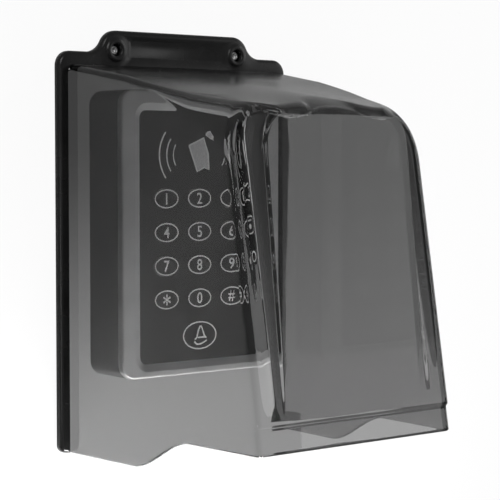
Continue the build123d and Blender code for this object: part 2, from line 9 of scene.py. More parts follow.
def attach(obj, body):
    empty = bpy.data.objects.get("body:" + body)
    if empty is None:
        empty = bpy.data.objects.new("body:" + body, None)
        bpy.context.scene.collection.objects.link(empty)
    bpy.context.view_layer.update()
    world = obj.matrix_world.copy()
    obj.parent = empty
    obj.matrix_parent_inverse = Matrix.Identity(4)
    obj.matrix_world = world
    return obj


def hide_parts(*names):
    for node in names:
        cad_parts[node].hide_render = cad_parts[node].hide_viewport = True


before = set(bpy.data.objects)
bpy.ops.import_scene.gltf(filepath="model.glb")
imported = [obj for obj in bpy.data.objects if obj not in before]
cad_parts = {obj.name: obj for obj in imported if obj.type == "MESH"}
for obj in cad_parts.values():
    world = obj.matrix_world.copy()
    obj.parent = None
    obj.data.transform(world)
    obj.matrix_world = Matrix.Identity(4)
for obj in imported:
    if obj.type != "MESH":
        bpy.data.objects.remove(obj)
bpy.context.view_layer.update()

MM = 0.001

# Hood shell, as the part's hood is drawn
HOOD_WALL = 2.2 * MM
BACK_HALF = 53.2 * MM
RIDGE_HALF = 47.7 * MM
ROOF_AT_WALL = -5.6 * MM
ROOF_FALL = 0.165
CROWN_BACK = 0.2 * MM
CROWN_FRONT = 2.4 * MM
CROWN_START = 35.0 * MM
CROWN_END = 70.0 * MM
RIDGE_TOP_DEPTH = 93.0 * MM
RIDGE_LEAN = 0.1745
RIDGE_TOP_HEIGHT = -21.5 * MM
PILLOW_TOP_DEPTH = 99.7 * MM
PILLOW_BOTTOM_DEPTH = 112.9 * MM
PILLOW_BOTTOM = -136.9 * MM
PILLOW_HALF = 35.1 * MM
PILLOW_TOP = -24.0 * MM
PILLOW_CORNER = 13.0 * MM
PILLOW_FOOT_FALL = 1.3 * MM
SKIRT_STEP = 1.2 * MM
FLUTE_CENTER = 38.8 * MM
FLUTE_DEPTH = 1.5 * MM
RIDGE_CREST = 2.4 * MM
SIDE_FOOT = -160.2 * MM
FRONT_FOOT = -147.7 * MM
WAVE_START = 42.0 * MM
WAVE_END = 75.0 * MM
EDGE_RADIUS_BACK = 2.0 * MM
EDGE_RADIUS_FRONT = 18.0 * MM
EDGE_START = 41.5 * MM
EDGE_GROWTH = 2.0
EDGE_REACH = 1.3
EDGE_PASSES = 12
FRONT_ROUND = 2.4 * MM
INNER_ROUND_SHARE = 0.6
ROOF_ROUND = 4.4 * MM
FRAME_FRONT = 3.2 * MM
FLANGE_BACK = 0.6 * MM
RIM_ROUND = 0.8 * MM
RIM_STEPS = 6

# Frame, as the part's frame is drawn
FRAME_HALF = 57.9 * MM
FRAME_SHOULDER = -1.0 * MM
FRAME_FOOT = -160.0 * MM
FRAME_CORNER = 6.0 * MM
FRAME_FOOT_CORNER = 3.0 * MM
TAB_TOP = 7.9 * MM
TAB_FLAT = 29.7 * MM
TAB_FOOT = 44.0 * MM
WINDOW_HALF = 53.35 * MM
WINDOW_TOP = -7.45 * MM
LIP_DROP = 2.9 * MM
LIP_FLAT = 32.0 * MM
LIP_FOOT = 39.5 * MM
BEAD_ROUND = 1.7 * MM
WINDOW_ROUND = 0.7 * MM
WINDOW_CORNER = 2.0 * MM
BEAD_STEPS = 8
CORNER_STEPS = 14
MITRE_LIMIT = 0.5
HOLE_HALF_PITCH = 30.8 * MM
HOLE_STEPS = 48
RECESS_HALF = 24.5 * MM
RECESS_HEIGHT = 8.6 * MM
RECESS_CENTER = 0.6 * MM
RECESS_DEPTH = 0.45 * MM
RECESS_SLOPE = 0.9 * MM
# Radius and depth in mm, from the front rim into the hole
BOSS_PROFILE = [
    (5.2, 3.2), (4.75, 3.28), (4.45, 3.5), (4.15, 3.74), (3.7, 3.8),
    (3.0, 3.8), (2.6, 3.68), (2.35, 3.3), (2.3, 2.9), (2.3, 0.0),
]
# Radius and depth in mm, from the drive's floor round the head to the wall
SCREW_PROFILE = [
    (0.0, 1.1), (0.85, 1.15), (1.0, 1.7), (1.15, 1.95), (1.6, 1.9),
    (2.0, 1.6), (2.15, 1.1), (2.15, 0.1), (0.0, 0.1),
]

# Steps of the shell's mesh
SIDE_ROWS = 150
ARC_STEPS = 18
ROOF_COLUMNS = 230
DEPTH_STEPS = 56
ROUND_STEPS = 8

# Keypad face
FACE_CENTER_X = -1.7 * MM
FACE_DEPTH = 21.0 * MM
KEY_DEPTH = 21.3 * MM
KEY_COLUMNS = 3
KEY_PITCH_X = 16.5 * MM
KEY_PITCH_Z = 13.45 * MM
KEY_FIRST_ROW = -59.4 * MM
BELL_ROW = -115.0 * MM
KEY_WIDTH = 12.6 * MM
KEY_HEIGHT = 8.5 * MM
BELL_WIDTH = 17.9 * MM
BELL_HEIGHT = 12.3 * MM
OUTLINE_INSET = 0.9 * MM
OVAL_STEPS = 96
READER_ROW = -42.0 * MM
WAVE_CENTER = 5.0 * MM
WAVE_RADII = (14.8, 11.2, 7.9)
WAVE_ANGLE = 38
WAVE_ANGLE_STEP = 3
WAVE_WIDTH = 0.6
WAVE_WIDTH_STEP = 0.08
WAVE_STEPS = 24
CARD_RIM = 0.7

# Signs in mm, from the middle line of the face and the row of the sign
CARD_CORNERS = [(-5.1, 3.8), (2.3, 6.9), (4.6, 0.5), (4.9, -6.0), (2.6, -4.9), (-0.9, -6.7)]
BELL_BODY = [
    (-2.6, -1.5), (-1.7, -1.0), (-1.2, 0.4), (-0.6, 2.4), (0.4, 3.7),
    (1.3, 2.5), (2.0, 0.5), (2.6, -0.8), (3.4, -1.1),
]
BELL_FOOT = [(-2.8, -2.4), (-1.6, -3.5), (-0.2, -3.6), (1.6, -3.1), (3.5, -2.2)]
BELL_BAR = [(-1.1, -0.9), (3.2, -0.8)]
BELL_LINE = 0.6 * MM

# Print
PRINT_THICKNESS = 0.04 * MM
LINE_WIDTH = 0.5 * MM
DIGIT_HEIGHT = 4.5 * MM
DIGIT_NARROW = 0.9
DIGIT_BOLD = 0.008
CURVE_STEPS = 6

# Smoked plastic
PLASTIC_IOR = 1.5
SMOKE_COLOUR = 0.02
SMOKE_DENSITY = 540.0
SHADOW_PASS = 0.95
FLOW_SCALE = 35.0
FLOW_GLOSS = 0.02
FLOW_HEIGHT = 2e-5
ROOF_GRAIN = 0.2
ROOF_FACING_START = 0.9
ROOF_FACING_FULL = 0.99

# Noise: middle range of its values, and cycles per metre of cloudy colour and of print
NOISE_LOW = 0.35
NOISE_HIGH = 0.65
CLOUD_SCALE = 60.0
PRINT_SCALE = 900.0
PRINT_SPREAD = 14
PRINT_GLOSS = 0.6

# Camera
CAMERA_PLACE = (-0.4167, -0.5624, -0.0433)
CAMERA_YAW = -39.13
CAMERA_PITCH = 3.115
CAMERA_LENS = 121.24
CAMERA_SENSOR = 36
CAMERA_NEAR = 0.01

# Studio
WALL_DEPTH = 0.0004
FLOOR_HEIGHT = -0.36
STAGE_SIZE = 6.0
STAGE_LEVEL = 240
STAGE_WHITE = 0.92
GLOSS_LEVEL = 200
PAPER_SPREAD = 3
PAPER_SCALE = 3.0
WORLD_COLOUR = 0.3
# Painted shade on the wall seen through the hood: full white up to the foot height, falling to the low
# level at the top height, standing in for the hood's shadow on the wall
PAINTED_SHADE_FOOT = -0.155
PAINTED_SHADE_TOP = -0.03
PAINTED_SHADE_LOW = 0.22

# Lamps: place, target, width, height and power
LAMP_SCALE = 0.42
KEY_LAMP = ((-0.9, -1.5, 0.9), (0, -0.05, -0.08), 1.0, 1.0, 28)
FILL_LAMP = ((2.0, -0.7, 0.5), (0, -0.05, -0.08), 0.7, 1.4, 16)
LOW_LAMP = ((-1.2, -0.9, -0.24), (0, -0.02, -0.1), 0.3, 0.18, 3.0)
FOOT_LAMP = ((0.0, -0.08, -0.28), (0, -0.025, -0.12), 0.1, 0.06, 2.5)

# Far softbox that the front panel mirrors: target, width, height and power, then its angles in degrees
FRONT_LAMP = ((0, -0.1, -0.08), 9.1, 12.0, 1350)
FRONT_LAMP_DISTANCE = 40.0
FRONT_LAMP_SIDE = 47.4
FRONT_LAMP_RISE = 8.0
FRONT_LAMP_ROLL = 10.5


def grey(value):
    """Linear grey of an 8-bit display value."""
    share = value / 255
    linear = share / 12.92 if share <= 0.04045 else ((share + 0.055) / 1.055) ** 2.4
    return (linear, linear, linear, 1.0)


def add_node(tree, kind, **settings):
    """New node with its settings."""
    node = tree.nodes.new(kind)
    for name, value in settings.items():
        setattr(node, name, value)
    return node


def new_material(name):
    """Empty material with a Principled shader. Returns material, node tree, shader and output."""
    material = bpy.data.materials.new(name)
    material.use_nodes = True
    tree = material.node_tree
    tree.nodes.clear()
    output = add_node(tree, "ShaderNodeOutputMaterial")
    shader = add_node(tree, "ShaderNodeBsdfPrincipled")
    tree.links.new(shader.outputs["BSDF"], output.inputs["Surface"])
    return material, tree, shader, output


def noise(tree, scale, detail=3.0):
    """Noise in the object's own coordinates, with its scale in cycles per metre."""
    place = add_node(tree, "ShaderNodeTexCoord")
    texture = add_node(tree, "ShaderNodeTexNoise")
    texture.inputs["Scale"].default_value = scale
    texture.inputs["Detail"].default_value = detail
    tree.links.new(place.outputs["Object"], texture.inputs["Vector"])
    return texture


def spread(tree, source, low, high):
    """The noise value stretched from its middle range to low and high."""
    ramp = add_node(tree, "ShaderNodeMapRange")
    ramp.inputs["From Min"].default_value = NOISE_LOW
    ramp.inputs["From Max"].default_value = NOISE_HIGH
    ramp.inputs["To Min"].default_value = low
    ramp.inputs["To Max"].default_value = high
    tree.links.new(source, ramp.inputs["Value"])
    return ramp.outputs["Result"]


def tint(tree, source, dark, light):
    """Colour that runs from dark to light with the noise."""
    ramp = add_node(tree, "ShaderNodeValToRGB")
    ramp.color_ramp.elements[0].position = NOISE_LOW
    ramp.color_ramp.elements[0].color = dark
    ramp.color_ramp.elements[1].position = NOISE_HIGH
    ramp.color_ramp.elements[1].color = light
    tree.links.new(source, ramp.inputs["Fac"])
    return ramp.outputs["Color"]


def bump(tree, source, shader, distance):
    """Raises the shader's surface by the noise, up to a height in metres."""
    node = add_node(tree, "ShaderNodeBump")
    node.inputs["Distance"].default_value = distance
    tree.links.new(source, node.inputs["Height"])
    tree.links.new(node.outputs["Normal"], shader.inputs["Normal"])


def moulded(
    name, dark, light, roughness, grain=2500.0, grain_height=4e-6, metallic=0.0, specular=0.5
):
    """Moulded or painted surface: cloudy colour, uneven gloss and a fine grain."""
    material, tree, shader, _output = new_material(name)
    cloud = noise(tree, CLOUD_SCALE)
    fine = noise(tree, grain, detail=2.0)
    tree.links.new(tint(tree, cloud.outputs["Fac"], dark, light), shader.inputs["Base Color"])
    tree.links.new(spread(tree, cloud.outputs["Fac"], *roughness), shader.inputs["Roughness"])
    bump(tree, fine.outputs["Fac"], shader, grain_height)
    shader.inputs["Metallic"].default_value = metallic
    shader.inputs["Specular IOR Level"].default_value = specular
    return material


def smoked_plastic(name):
    """Clear plastic that its own thickness darkens, with a faint flow in its surface."""
    material, tree, shader, output = new_material(name)
    shader.inputs["Base Color"].default_value = (1, 1, 1, 1)
    shader.inputs["Transmission Weight"].default_value = 1.0
    shader.inputs["IOR"].default_value = PLASTIC_IOR
    flow = noise(tree, FLOW_SCALE, detail=1.0)
    facing = add_node(tree, "ShaderNodeNewGeometry")
    split = add_node(tree, "ShaderNodeSeparateXYZ")
    tree.links.new(facing.outputs["Normal"], split.inputs["Vector"])
    level = add_node(tree, "ShaderNodeMapRange", interpolation_type="SMOOTHSTEP")
    level.inputs["From Min"].default_value = ROOF_FACING_START
    level.inputs["From Max"].default_value = ROOF_FACING_FULL
    level.inputs["To Max"].default_value = ROOF_GRAIN
    tree.links.new(split.outputs["Z"], level.inputs["Value"])
    total = add_node(tree, "ShaderNodeMath", operation="ADD")
    tree.links.new(spread(tree, flow.outputs["Fac"], 0.0, FLOW_GLOSS), total.inputs[0])
    tree.links.new(level.outputs["Result"], total.inputs[1])
    tree.links.new(total.outputs["Value"], shader.inputs["Roughness"])
    bump(tree, flow.outputs["Fac"], shader, FLOW_HEIGHT)
    smoke = add_node(tree, "ShaderNodeVolumeAbsorption")
    smoke.inputs["Color"].default_value = (SMOKE_COLOUR, SMOKE_COLOUR, SMOKE_COLOUR, 1)
    smoke.inputs["Density"].default_value = SMOKE_DENSITY
    tree.links.new(smoke.outputs["Volume"], output.inputs["Volume"])
    path = add_node(tree, "ShaderNodeLightPath")
    clear = add_node(tree, "ShaderNodeBsdfTransparent")
    clear.inputs["Color"].default_value = (SHADOW_PASS, SHADOW_PASS, SHADOW_PASS, 1)
    mix = add_node(tree, "ShaderNodeMixShader")
    tree.links.new(path.outputs["Is Shadow Ray"], mix.inputs["Fac"])
    tree.links.new(shader.outputs["BSDF"], mix.inputs[1])
    tree.links.new(clear.outputs["BSDF"], mix.inputs[2])
    tree.links.new(mix.outputs["Shader"], output.inputs["Surface"])
    return material


def lit_print(name, level, glow):
    """Pale print over a lamp-lit window: matt, slightly uneven and faintly glowing."""
    material, tree, shader, _output = new_material(name)
    cloud = noise(tree, PRINT_SCALE)
    colour = tint(tree, cloud.outputs["Fac"], grey(level - PRINT_SPREAD), grey(level))
    tree.links.new(colour, shader.inputs["Base Color"])
    tree.links.new(colour, shader.inputs["Emission Color"])
    shader.inputs["Emission Strength"].default_value = glow
    shader.inputs["Roughness"].default_value = PRINT_GLOSS
    return material


MATERIALS = {
    "black_frame": moulded("black_frame", grey(16), grey(24), (0.2, 0.3), 1800.0, 3e-6, specular=0.3),
    "foam_seal": moulded("foam_seal", grey(28), grey(52), (0.8, 0.95), 1400.0, 9e-5),
    "smoked_hood": smoked_plastic("smoked_hood"),
    "steel_plate": moulded("steel_plate", grey(150), grey(176), (0.3, 0.45), 3000.0, 3e-6, 1.0),
    "keypad_shell": moulded("keypad_shell", grey(92), grey(104), (0.42, 0.55), 2600.0, 8e-6),
    "silver_bezel": moulded("silver_bezel", grey(222), grey(238), (0.34, 0.42), 3400.0, 3e-6, 0.5),
    "face_black": moulded("face_black", grey(24), grey(32), (0.14, 0.2), 900.0, 1e-7),
    "key_black": moulded("key_black", grey(26), grey(34), (0.2, 0.3), 1600.0, 2e-6),
    "clear_guide": moulded("clear_guide", grey(205), grey(225), (0.1, 0.2), 500.0, 1e-6),
    "board_green": moulded(
        "board_green", (0.01, 0.09, 0.03, 1), (0.02, 0.14, 0.05, 1), (0.3, 0.45)
    ),
    "switch_black": moulded("switch_black", grey(26), grey(36), (0.45, 0.6)),
    "led_white": moulded("led_white", grey(222), grey(240), (0.3, 0.4)),
    "coil_copper": moulded(
        "coil_copper", (0.5, 0.2, 0.08, 1), (0.66, 0.28, 0.12, 1), (0.3, 0.4), metallic=1.0
    ),
    "relay_blue": moulded("relay_blue", (0.01, 0.06, 0.28, 1), (0.02, 0.09, 0.36, 1), (0.3, 0.4)),
    "terminal_green": moulded(
        "terminal_green", (0.01, 0.2, 0.06, 1), (0.02, 0.27, 0.09, 1), (0.35, 0.5)
    ),
    "screw_steel": moulded("screw_steel", grey(165), grey(190), (0.25, 0.35), metallic=1.0),
    "rubber_black": moulded("rubber_black", grey(20), grey(32), (0.7, 0.85), 1500.0, 2e-5),
    "key_print": lit_print("key_print", 235, 0.25),
    "card_print": lit_print("card_print", 205, 0.2),
}


def smoothstep(share):
    """Share from 0 to 1, level at both ends."""
    share = np.clip(share, 0.0, 1.0)
    return share * share * (3 - 2 * share)


def ridge_depth(z):
    """Depth of the front's ridges at a height."""
    return RIDGE_TOP_DEPTH + RIDGE_LEAN * (RIDGE_TOP_HEIGHT - z)


def pillow_depth(z):
    """Depth of the raised panel at a height."""
    lean = (PILLOW_BOTTOM_DEPTH - PILLOW_TOP_DEPTH) / (RIDGE_TOP_HEIGHT - PILLOW_BOTTOM)
    return np.maximum(PILLOW_TOP_DEPTH + lean * (RIDGE_TOP_HEIGHT - z), ridge_depth(z))


def front_depth(x, z, skin):
    """Depth of the front at a place, outside with skin 0 or inside with skin the wall."""
    fade = np.clip((z - PILLOW_BOTTOM) / (RIDGE_TOP_HEIGHT - PILLOW_BOTTOM), 0.0, 1.0)
    ridge = ridge_depth(z) - skin
    valley = ridge - FLUTE_DEPTH * fade
    pillow = pillow_depth(z) - skin
    valley_x = FLUTE_CENTER - skin / 2
    ridge_x = RIDGE_HALF - RIDGE_CREST
    across = np.abs(x)
    beside = np.maximum(across - (PILLOW_HALF - skin - PILLOW_CORNER), 0.0)
    above = np.maximum(z - (PILLOW_TOP - skin - PILLOW_CORNER), 0.0)
    outside = np.maximum(np.hypot(beside, above) - PILLOW_CORNER, 0.0)
    inner = pillow + (valley - pillow) * smoothstep(outside / (valley_x - PILLOW_HALF + skin))
    outer = valley + (ridge - valley) * smoothstep((across - valley_x) / (ridge_x - valley_x))
    face = np.where(across < valley_x, inner, outer)
    return face - SKIRT_STEP * smoothstep((PILLOW_BOTTOM - z) / PILLOW_FOOT_FALL)


def side_half(depth, z, skin):
    """Half width of the hood at a depth and height."""
    slope = (BACK_HALF - RIDGE_HALF) / (ridge_depth(z) - FRONT_ROUND)
    return BACK_HALF - slope * depth - skin


def roof_height(depth, skin):
    """Height of the roof's middle at a depth."""
    return ROOF_AT_WALL - ROOF_FALL * depth - skin


def crown_drop(depth):
    """Drop of the roof from its middle to its rounded edges."""
    share = np.clip((depth - CROWN_START) / (CROWN_END - CROWN_START), 0.0, 1.0)
    return CROWN_BACK + (CROWN_FRONT - CROWN_BACK) * share


def edge_radius(depth, skin):
    """Radius between side and roof, which grows toward the front."""
    share = np.clip((depth - EDGE_START) / (RIDGE_TOP_DEPTH - EDGE_START), 0.0, EDGE_REACH)
    radius = EDGE_RADIUS_BACK + (EDGE_RADIUS_FRONT - EDGE_RADIUS_BACK) * share**EDGE_GROWTH
    return np.maximum(radius - skin, HOOD_WALL / 4)


def foot_height(depth):
    """Lower edge of the hood, which steps up in a wave from wall to front."""
    share = (depth - WAVE_START) / (WAVE_END - WAVE_START)
    return SIDE_FOOT + RIM_ROUND + (FRONT_FOOT - SIDE_FOOT) * smoothstep(share)


def half_places():
    """Places along half a section, from the foot of the side to the middle of the roof."""
    rows = [("side", i / SIDE_ROWS) for i in range(SIDE_ROWS)]
    arcs = [("arc", i / ARC_STEPS) for i in range(ARC_STEPS)]
    roof = [("roof", i / (ROOF_COLUMNS // 2)) for i in range(ROOF_COLUMNS // 2 + 1)]
    return rows + arcs + roof


def section_point(place, depth, skin):
    """Point (x, z) of the right half of the section at a depth."""
    kind, share = place
    radius = edge_radius(depth, skin)
    top = roof_height(depth, skin)
    crown = crown_drop(depth)
    start = top - crown - radius
    half = side_half(depth, start, skin)
    if kind == "side":
        foot = foot_height(depth)
        z = foot + (start - foot) * share
        return side_half(depth, z, skin), z
    if kind == "arc":
        angle = share * math.pi / 2
        return half - radius + radius * math.cos(angle), start + radius * math.sin(angle)
    return (half - radius) * (1 - share), top - crown * float(smoothstep(1 - share))


def inward(place):
    """Unit direction from a section place into the hood, in (x, z), for the right half."""
    kind, share = place
    if kind == "side":
        return -1.0, 0.0
    if kind == "arc":
        angle = share * math.pi / 2
        return -math.cos(angle), -math.sin(angle)
    return 0.0, -1.0


def edge_depth(place, skin):
    """Depth at which a section place meets the front."""
    depth = RIDGE_TOP_DEPTH
    for _step in range(EDGE_PASSES):
        x, z = section_point(place, depth, skin)
        depth = float(front_depth(np.array(x), np.array(z), skin))
    return depth


def edge_round(place, skin):
    """Size of the rounded edge between a section place and the front."""
    kind, share = place
    blend = {"side": 0.0, "arc": share, "roof": 1.0}[kind]
    side_round = FRONT_ROUND * INNER_ROUND_SHARE if skin > 0 else FRONT_ROUND
    return side_round + (ROOF_ROUND - skin - side_round) * blend


def skin_columns(skin):
    """Columns of points of one skin's right half, each from the wall to the front."""
    places = half_places()
    columns = []
    for place in places:
        edge = edge_depth(place, skin)
        begin = FLANGE_BACK if place[0] == "side" else FRAME_FRONT
        round_size = edge_round(place, skin)
        stop = edge - round_size
        column = []
        for step in range(DEPTH_STEPS + 1):
            depth = begin + (stop - begin) * step / DEPTH_STEPS
            x, z = section_point(place, depth, skin)
            column.append((x, depth, z))
        first = column[-1]
        x, z = section_point(place, edge, skin)
        corner = (x, edge, z)
        into_x, into_z = inward(place)
        last_x = x + into_x * round_size
        last_z = z + into_z * round_size
        last_depth = float(front_depth(np.array(last_x), np.array(last_z), skin))
        last = (last_x, last_depth, last_z)
        for step in range(1, ROUND_STEPS + 1):
            t = step / ROUND_STEPS
            weights = ((1 - t) ** 2, 2 * t * (1 - t), t * t)
            column.append(tuple(
                weights[0] * a + weights[1] * b + weights[2] * c
                for a, b, c in zip(first, corner, last)
            ))
        columns.append(column)
    return columns


def skin_mesh(skin):
    """Vertices and faces of one skin, with the vertex numbers of its rear edge and lower rim."""
    half = skin_columns(skin)
    left = [[(-x, d, z) for x, d, z in column] for column in half]
    columns = left + half[:-1][::-1]
    count = len(columns)
    rows = len(columns[0])
    vertices = [p for column in columns for p in column]
    faces = []
    for c in range(count - 1):
        for r in range(rows - 1):
            a = c * rows + r
            faces.append((a, a + 1, a + rows + 1, a + rows))
    edge = [c * rows + rows - 1 for c in range(count)]
    side_count = SIDE_ROWS + ARC_STEPS + 1
    top_count = count - 2 * (side_count - 1)
    top = edge[side_count - 1:side_count - 1 + top_count]
    shares = []
    x_left = vertices[top[0]][0]
    x_right = vertices[top[-1]][0]
    for index in top:
        shares.append((vertices[index][0] - x_left) / (x_right - x_left))
    previous = None
    for i in range(side_count):
        left_index = edge[i]
        right_index = edge[count - 1 - i]
        if i == side_count - 1:
            current = list(top)
        else:
            lx, _ld, lz = vertices[left_index]
            rx, _rd, _rz = vertices[right_index]
            xs = np.array([lx + (rx - lx) * s for s in shares[1:-1]])
            depths = front_depth(xs, np.full_like(xs, lz), skin)
            base = len(vertices)
            vertices.extend((float(x), float(d), lz) for x, d in zip(xs, depths))
            current = [left_index] + list(range(base, base + len(xs))) + [right_index]
        if previous:
            for k in range(len(current) - 1):
                faces.append((previous[k], previous[k + 1], current[k + 1], current[k]))
        else:
            bottom = current
        previous = current
    back = [c * rows for c in range(count)]
    foot_left = list(range(rows))
    foot_right = [(count - 1) * rows + r for r in range(rows)]
    rim = foot_left + bottom[1:-1] + foot_right[::-1]
    return vertices, faces, back, rim


def hood_mesh():
    """Closed shell of the hood with both skins, the lower rim and the rear edge."""
    outer, outer_faces, outer_back, outer_rim = skin_mesh(0.0)
    inner, inner_faces, inner_back, inner_rim = skin_mesh(HOOD_WALL)
    shift = len(outer)
    vertices = outer + inner
    faces = [tuple(reversed(f)) for f in outer_faces]
    faces += [tuple(i + shift for i in f) for f in inner_faces]
    for k in range(len(outer_back) - 1):
        near = (outer_back[k], outer_back[k + 1])
        faces.append(near + (inner_back[k + 1] + shift, inner_back[k] + shift))
    previous = None
    for out_index, in_index in zip(outer_rim, inner_rim):
        ring = [out_index]
        for step in range(1, RIM_STEPS):
            angle = math.pi * step / RIM_STEPS
            share = (1 - math.cos(angle)) / 2
            start = vertices[out_index]
            end = vertices[in_index + shift]
            point = [a + (b - a) * share for a, b in zip(start, end)]
            point[2] -= RIM_ROUND * math.sin(angle)
            ring.append(len(vertices))
            vertices.append(tuple(point))
        ring.append(in_index + shift)
        if previous:
            for k in range(RIM_STEPS):
                faces.append((previous[k], ring[k], ring[k + 1], previous[k + 1]))
        previous = ring
    return [(x, -d, z) for x, d, z in vertices], faces


def build_mesh(name, vertices, faces, slot_name, smooth=True):
    """Piece from vertices and faces, in the material of a slot."""
    mesh = bpy.data.meshes.new(name)
    mesh.from_pydata(vertices, [], faces)
    mesh.validate()
    fix = bmesh.new()
    fix.from_mesh(mesh)
    bmesh.ops.recalc_face_normals(fix, faces=fix.faces)
    fix.to_mesh(mesh)
    fix.free()
    for polygon in mesh.polygons:
        polygon.use_smooth = smooth
    piece = bpy.data.objects.new(name, mesh)
    bpy.context.scene.collection.objects.link(piece)
    mesh.materials.append(MATERIALS[slot_name])
    return piece


def paint_nodes():
    """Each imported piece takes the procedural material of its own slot."""
    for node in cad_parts.values():
        name = node.data.materials[0].name.split(".")[0]
        node.data.materials[0] = MATERIALS[name]


def build_hood():
    """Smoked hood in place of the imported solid."""
    vertices, faces = hood_mesh()
    hood = build_mesh("hood_shell", vertices, faces, "smoked_hood")
    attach(hood, "root")
    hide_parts("rain_hood")


def ogee_points(start, end):
    """Points of two equal tangent arcs, level at both ends, without the last one."""
    dx = end[0] - start[0]
    dz = end[1] - start[1]
    radius = (dx * dx + dz * dz) / (4 * abs(dz))
    turn = math.asin(abs(dx) / 2 / radius)
    way_x = math.copysign(1, dx)
    way_z = math.copysign(1, dz)
    points = []
    for i in range(CORNER_STEPS):
        t = turn * i / CORNER_STEPS
        x = start[0] + way_x * radius * math.sin(t)
        points.append((x, start[1] + way_z * radius * (1 - math.cos(t))))
    for i in range(CORNER_STEPS):
        t = turn * (1 - i / CORNER_STEPS)
        x = end[0] - way_x * radius * math.sin(t)
        points.append((x, end[1] - way_z * radius * (1 - math.cos(t))))
    return points


def corner_points(center, radius, start):
    """Quarter circle, clockwise from the start angle in degrees."""
    points = []
    for i in range(CORNER_STEPS + 1):
        angle = math.radians(start - 90 * i / CORNER_STEPS)
        points.append((center[0] + radius * math.cos(angle), center[1] + radius * math.sin(angle)))
    return points


def frame_path():
    """Right half of the frame's outline, from the tab's middle to the lip's, with edge radii."""
    side = FRAME_HALF
    foot = FRAME_FOOT + FRAME_FOOT_CORNER
    outer = [(0.0, TAB_TOP)] + ogee_points((TAB_FLAT, TAB_TOP), (TAB_FOOT, FRAME_SHOULDER))
    outer.append((TAB_FOOT, FRAME_SHOULDER))
    outer += corner_points((side - FRAME_CORNER, FRAME_SHOULDER - FRAME_CORNER), FRAME_CORNER, 90)
    outer += corner_points((side - FRAME_FOOT_CORNER, foot), FRAME_FOOT_CORNER, 0)
    turn = (WINDOW_HALF - WINDOW_CORNER, WINDOW_TOP - WINDOW_CORNER)
    inner = [(WINDOW_HALF, FRAME_FOOT)] + corner_points(turn, WINDOW_CORNER, 90)[::-1]
    inner += ogee_points((LIP_FOOT, WINDOW_TOP), (LIP_FLAT, WINDOW_TOP - LIP_DROP))
    inner += [(LIP_FLAT, WINDOW_TOP - LIP_DROP), (0.0, WINDOW_TOP - LIP_DROP)]
    return [(p, BEAD_ROUND) for p in outer] + [(p, WINDOW_ROUND) for p in inner]


def frame_loop():
    """Closed outline of the frame, clockwise from the front, with an edge radius at each point."""
    half = frame_path()
    mirrored = [((-x, z), r) for (x, z), r in reversed(half[1:-1])]
    return half + mirrored


def inset_directions(points):
    """Inward direction at each point of a clockwise loop, scaled to keep the edges parallel."""
    directions = []
    count = len(points)
    for i in range(count):
        ax, az = points[i - 1]
        bx, bz = points[i]
        cx, cz = points[(i + 1) % count]
        before = Vector((bx - ax, bz - az)).normalized()
        after = Vector((cx - bx, cz - bz)).normalized()
        first = Vector((before.y, -before.x))
        second = Vector((after.y, -after.x))
        middle = (first + second).normalized()
        directions.append(middle / max(middle.dot(first), MITRE_LIMIT))
    return directions


def ring_faces(first, second):
    """Quads between two closed rings of vertex numbers."""
    turned_first = first[1:] + first[:1]
    turned_second = second[1:] + second[:1]
    return list(zip(first, turned_first, turned_second, second))


def fill_between(vertices, rings):
    """Triangles that fill a flat area bounded by an outer ring and any holes."""
    shape = bmesh.new()
    edges = []
    numbers = {}
    for ring in rings:
        made = []
        for index in ring:
            vertex = shape.verts.new(vertices[index])
            numbers[vertex] = index
            made.append(vertex)
        for i in range(len(made)):
            edges.append(shape.edges.new((made[i - 1], made[i])))
    bmesh.ops.triangle_fill(shape, use_beauty=True, edges=edges)
    faces = [tuple(numbers[v] for v in face.verts) for face in shape.faces]
    shape.free()
    return faces


def add_ring(vertices, points, depth):
    """Adds a ring of points at a depth and returns its vertex numbers."""
    start = len(vertices)
    vertices.extend((x, -depth, z) for x, z in points)
    return list(range(start, start + len(points)))


def circle_points(x, z, radius):
    """Points of a circle about a place."""
    angles = [2 * math.pi / HOLE_STEPS * i for i in range(HOLE_STEPS)]
    return [(x + radius * math.cos(angle), z + radius * math.sin(angle)) for angle in angles]


def recess_points(inset):
    """Rounded outline of the shallow field between the tab's bosses."""
    half = RECESS_HALF - inset
    rise = RECESS_HEIGHT / 2 - inset
    radius = RECESS_SLOPE * 2 - inset
    points = []
    for way_x, way_z, start in ((1, 1, 90), (1, -1, 0), (-1, -1, -90), (-1, 1, -180)):
        center = (way_x * (half - radius), RECESS_CENTER + way_z * (rise - radius))
        points += corner_points(center, radius, start)
    return points


def frame_mesh():
    """Closed frame with a rounded bead, two screw bosses and a shallow field on the tab."""
    loop = frame_loop()
    points = [p for p, _radius in loop]
    directions = inset_directions(points)
    vertices = []
    faces = []
    back = add_ring(vertices, points, 0.0)
    ring = back
    for step in range(BEAD_STEPS + 1):
        angle = math.pi / 2 * step / BEAD_STEPS
        start = len(vertices)
        for (point, radius), way in zip(loop, directions):
            inset = radius * (1 - math.cos(angle))
            depth = FRAME_FRONT - radius + radius * math.sin(angle)
            vertices.append((point[0] + way.x * inset, -depth, point[1] + way.y * inset))
        current = list(range(start, len(vertices)))
        faces += ring_faces(ring, current)
        ring = current
    front_rings = [ring]
    back_rings = [back]
    for side in (-1, 1):
        previous = None
        for radius, depth in BOSS_PROFILE:
            circle = circle_points(side * HOLE_HALF_PITCH, 0.0, radius * MM)
            current = add_ring(vertices, circle, depth * MM)
            if previous:
                faces += ring_faces(previous, current)
            else:
                front_rings.append(current)
            previous = current
        back_rings.append(previous)
    edge = add_ring(vertices, recess_points(0.0), FRAME_FRONT)
    floor = add_ring(vertices, recess_points(RECESS_SLOPE), FRAME_FRONT - RECESS_DEPTH)
    faces += ring_faces(edge, floor)
    front_rings.append(edge)
    faces.append(tuple(floor))
    faces += fill_between(vertices, front_rings)
    faces += fill_between(vertices, back_rings)
    return vertices, faces


